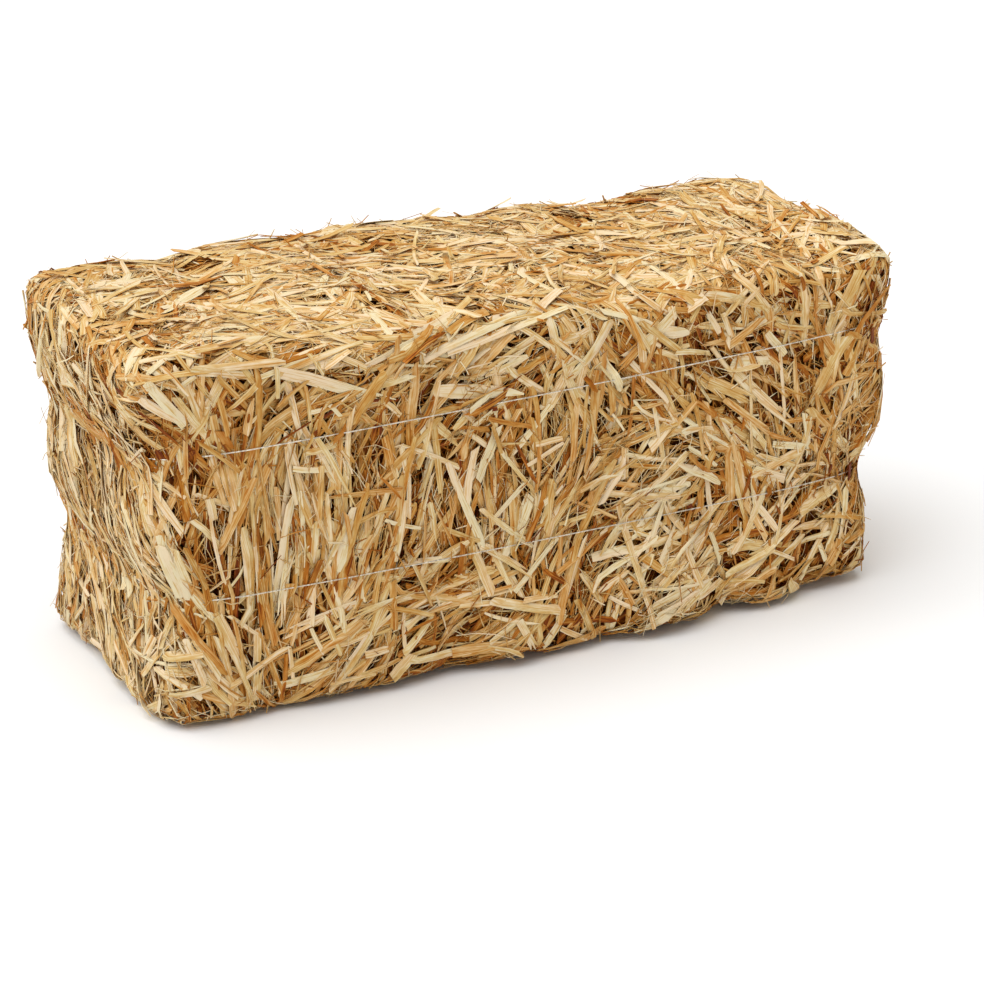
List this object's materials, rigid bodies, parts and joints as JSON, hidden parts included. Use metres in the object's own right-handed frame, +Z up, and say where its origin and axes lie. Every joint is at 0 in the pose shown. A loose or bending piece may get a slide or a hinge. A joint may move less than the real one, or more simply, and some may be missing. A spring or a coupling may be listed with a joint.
{
  "type": "decorative straw bale",
  "caption": "Small rectangular bale of pressed chopped straw, bound lengthwise by thin steel wires, that rests on its flat underside as a decoration.",
  "frame": {"origin": "middle of the bale's underside, on the surface that it stands on", "axes": "+X along the bale's length, +Y from its front to its back, +Z up"},
  "size_m": [0.509, 0.2132, 0.2283],
  "materials": {
    "straw": "dry chopped wheat straw, pale gold, split and fibrous, satin on the outside of the stems",
    "binding_wire": "thin galvanised steel wire, dull grey"
  },
  "bodies": {
    "root": {"flake_1": "straw", "flake_2": "straw", "flake_3": "straw", "flake_4": "straw", "flake_5": "straw", "flake_6": "straw", "binding_wire_lower": "binding_wire", "binding_wire_upper": "binding_wire"}
  },
  "joints": []
}
